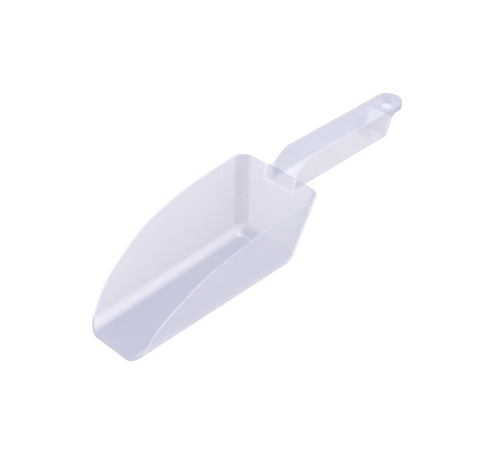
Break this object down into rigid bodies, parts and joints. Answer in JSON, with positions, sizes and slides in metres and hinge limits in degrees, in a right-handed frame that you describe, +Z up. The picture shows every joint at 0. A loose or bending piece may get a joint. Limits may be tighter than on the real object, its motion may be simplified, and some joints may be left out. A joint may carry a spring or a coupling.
{
  "type": "feed scoop",
  "caption": "Clear tinted plastic hand scoop: deep open-fronted bowl with a sloping curved rim and a hollow channel handle ending in a hanging hole.",
  "frame": {"origin": "under the middle of the scoop's length and width, level with the bowl's flat underside", "axes": "+X across the width, mouth towards -Y, handle towards +Y, +Z up with the bowl's underside on the ground"},
  "size_m": [0.0944, 0.3594, 0.0853],
  "materials": {
    "bowl": "clear, slightly lavender, glossy",
    "handle": "clear, slightly lavender, glossy"
  },
  "bodies": {
    "root": {"bowl": "bowl", "handle": "handle"}
  },
  "joints": []
}
